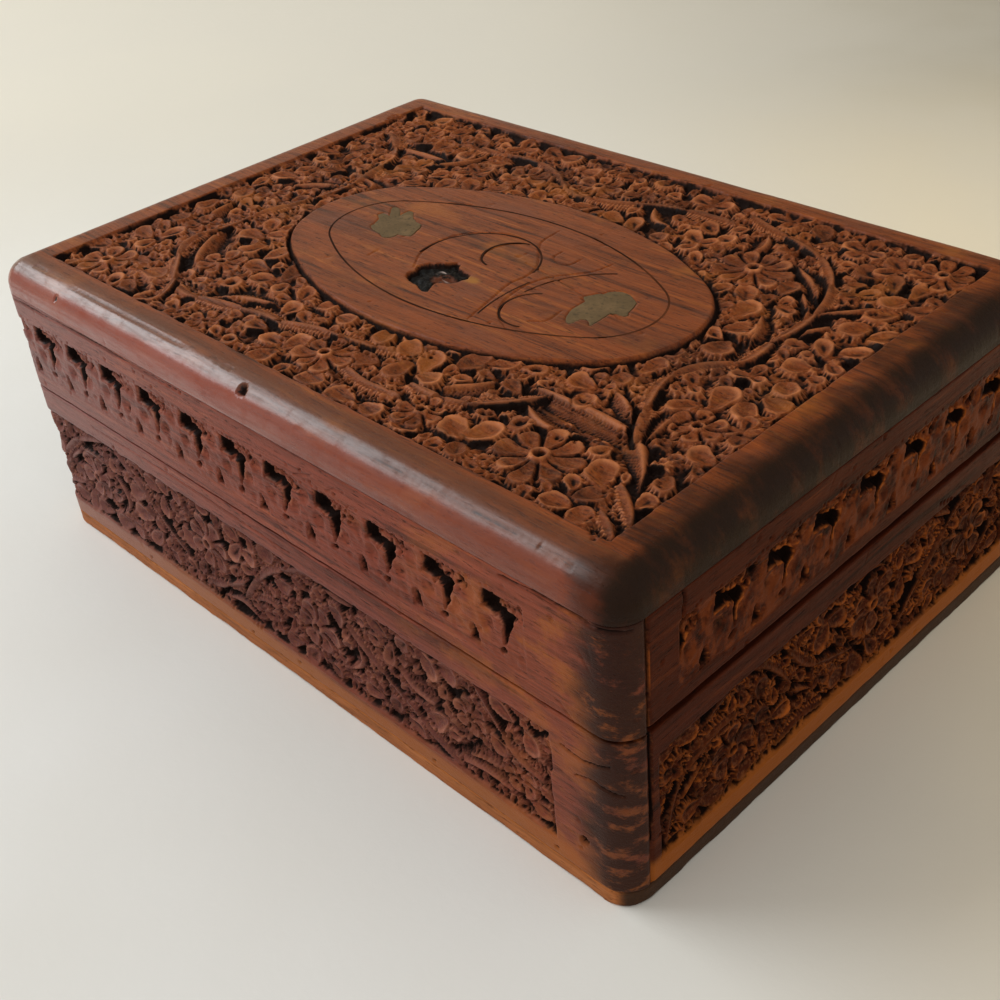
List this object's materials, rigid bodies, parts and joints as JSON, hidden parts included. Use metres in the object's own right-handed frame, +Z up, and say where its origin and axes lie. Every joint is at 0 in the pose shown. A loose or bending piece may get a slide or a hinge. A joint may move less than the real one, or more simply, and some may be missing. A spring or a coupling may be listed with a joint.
{
  "type": "keepsake box",
  "caption": "Rectangular carved hardwood box for papers and keepsakes, with a hinged lid, floral relief round a plain oval, and inlaid brass leaves and scrolls on top.",
  "frame": {"origin": "centre of the bottom face, on the surface the box stands on", "axes": "+X to the right along the long front, +Y from the front to the hinge side, +Z up"},
  "size_m": [0.254, 0.178, 0.097],
  "materials": {
    "rosewood_top": "old wax over warm brown rosewood, dark dirt in the carving",
    "rosewood_long": "old polish, purplish brown, worn glossy on the roundings",
    "rosewood_ends": "old polish, dark red-brown",
    "bottom_wood": "plain sawn and waxed",
    "iron_nail": "dull, rusted brown",
    "inlay_brass": "tarnished grey-green, matt",
    "inlay_wire": "tarnished nearly to the wood's colour",
    "black_lac": "broken old lac, dull black with chalky edges",
    "hinge_brass": "aged, satin",
    "hinge_steel": "dull"
  },
  "bodies": {
    "box_body": {"base_board": "bottom_wood", "body_front_wall": "rosewood_long", "body_back_wall": "rosewood_long", "body_left_wall": "rosewood_ends", "body_right_wall": "rosewood_ends", "body_corner_nails": "iron_nail", "base_nails": "iron_nail", "hinge_body_leaf_left": "hinge_brass", "hinge_body_leaf_right": "hinge_brass", "hinge_pin_left": "hinge_steel", "hinge_pin_right": "hinge_steel", "hinge_screws_body": "hinge_steel"},
    "lid": {"lid_top_board": "rosewood_top", "lid_front_wall": "rosewood_long", "lid_back_wall": "rosewood_long", "lid_left_wall": "rosewood_ends", "lid_right_wall": "rosewood_ends", "lid_corner_nails": "iron_nail", "lid_top_nails": "iron_nail", "brass_leaf_left": "inlay_brass", "brass_leaf_right": "inlay_brass", "brass_oval_line": "inlay_wire", "brass_scroll_wires": "inlay_wire", "lac_filling": "black_lac", "hinge_lid_leaf_left": "hinge_brass", "hinge_lid_leaf_right": "hinge_brass", "hinge_screws_lid": "hinge_steel"}
  },
  "joints": [
    {"name": "lid_hinge", "type": "hinge", "parent": "box_body", "child": "lid", "pos_m": [0, 0.087, 0.0544], "axis": [-1, 0, 0], "range_deg": [0, 105]}
  ]
}
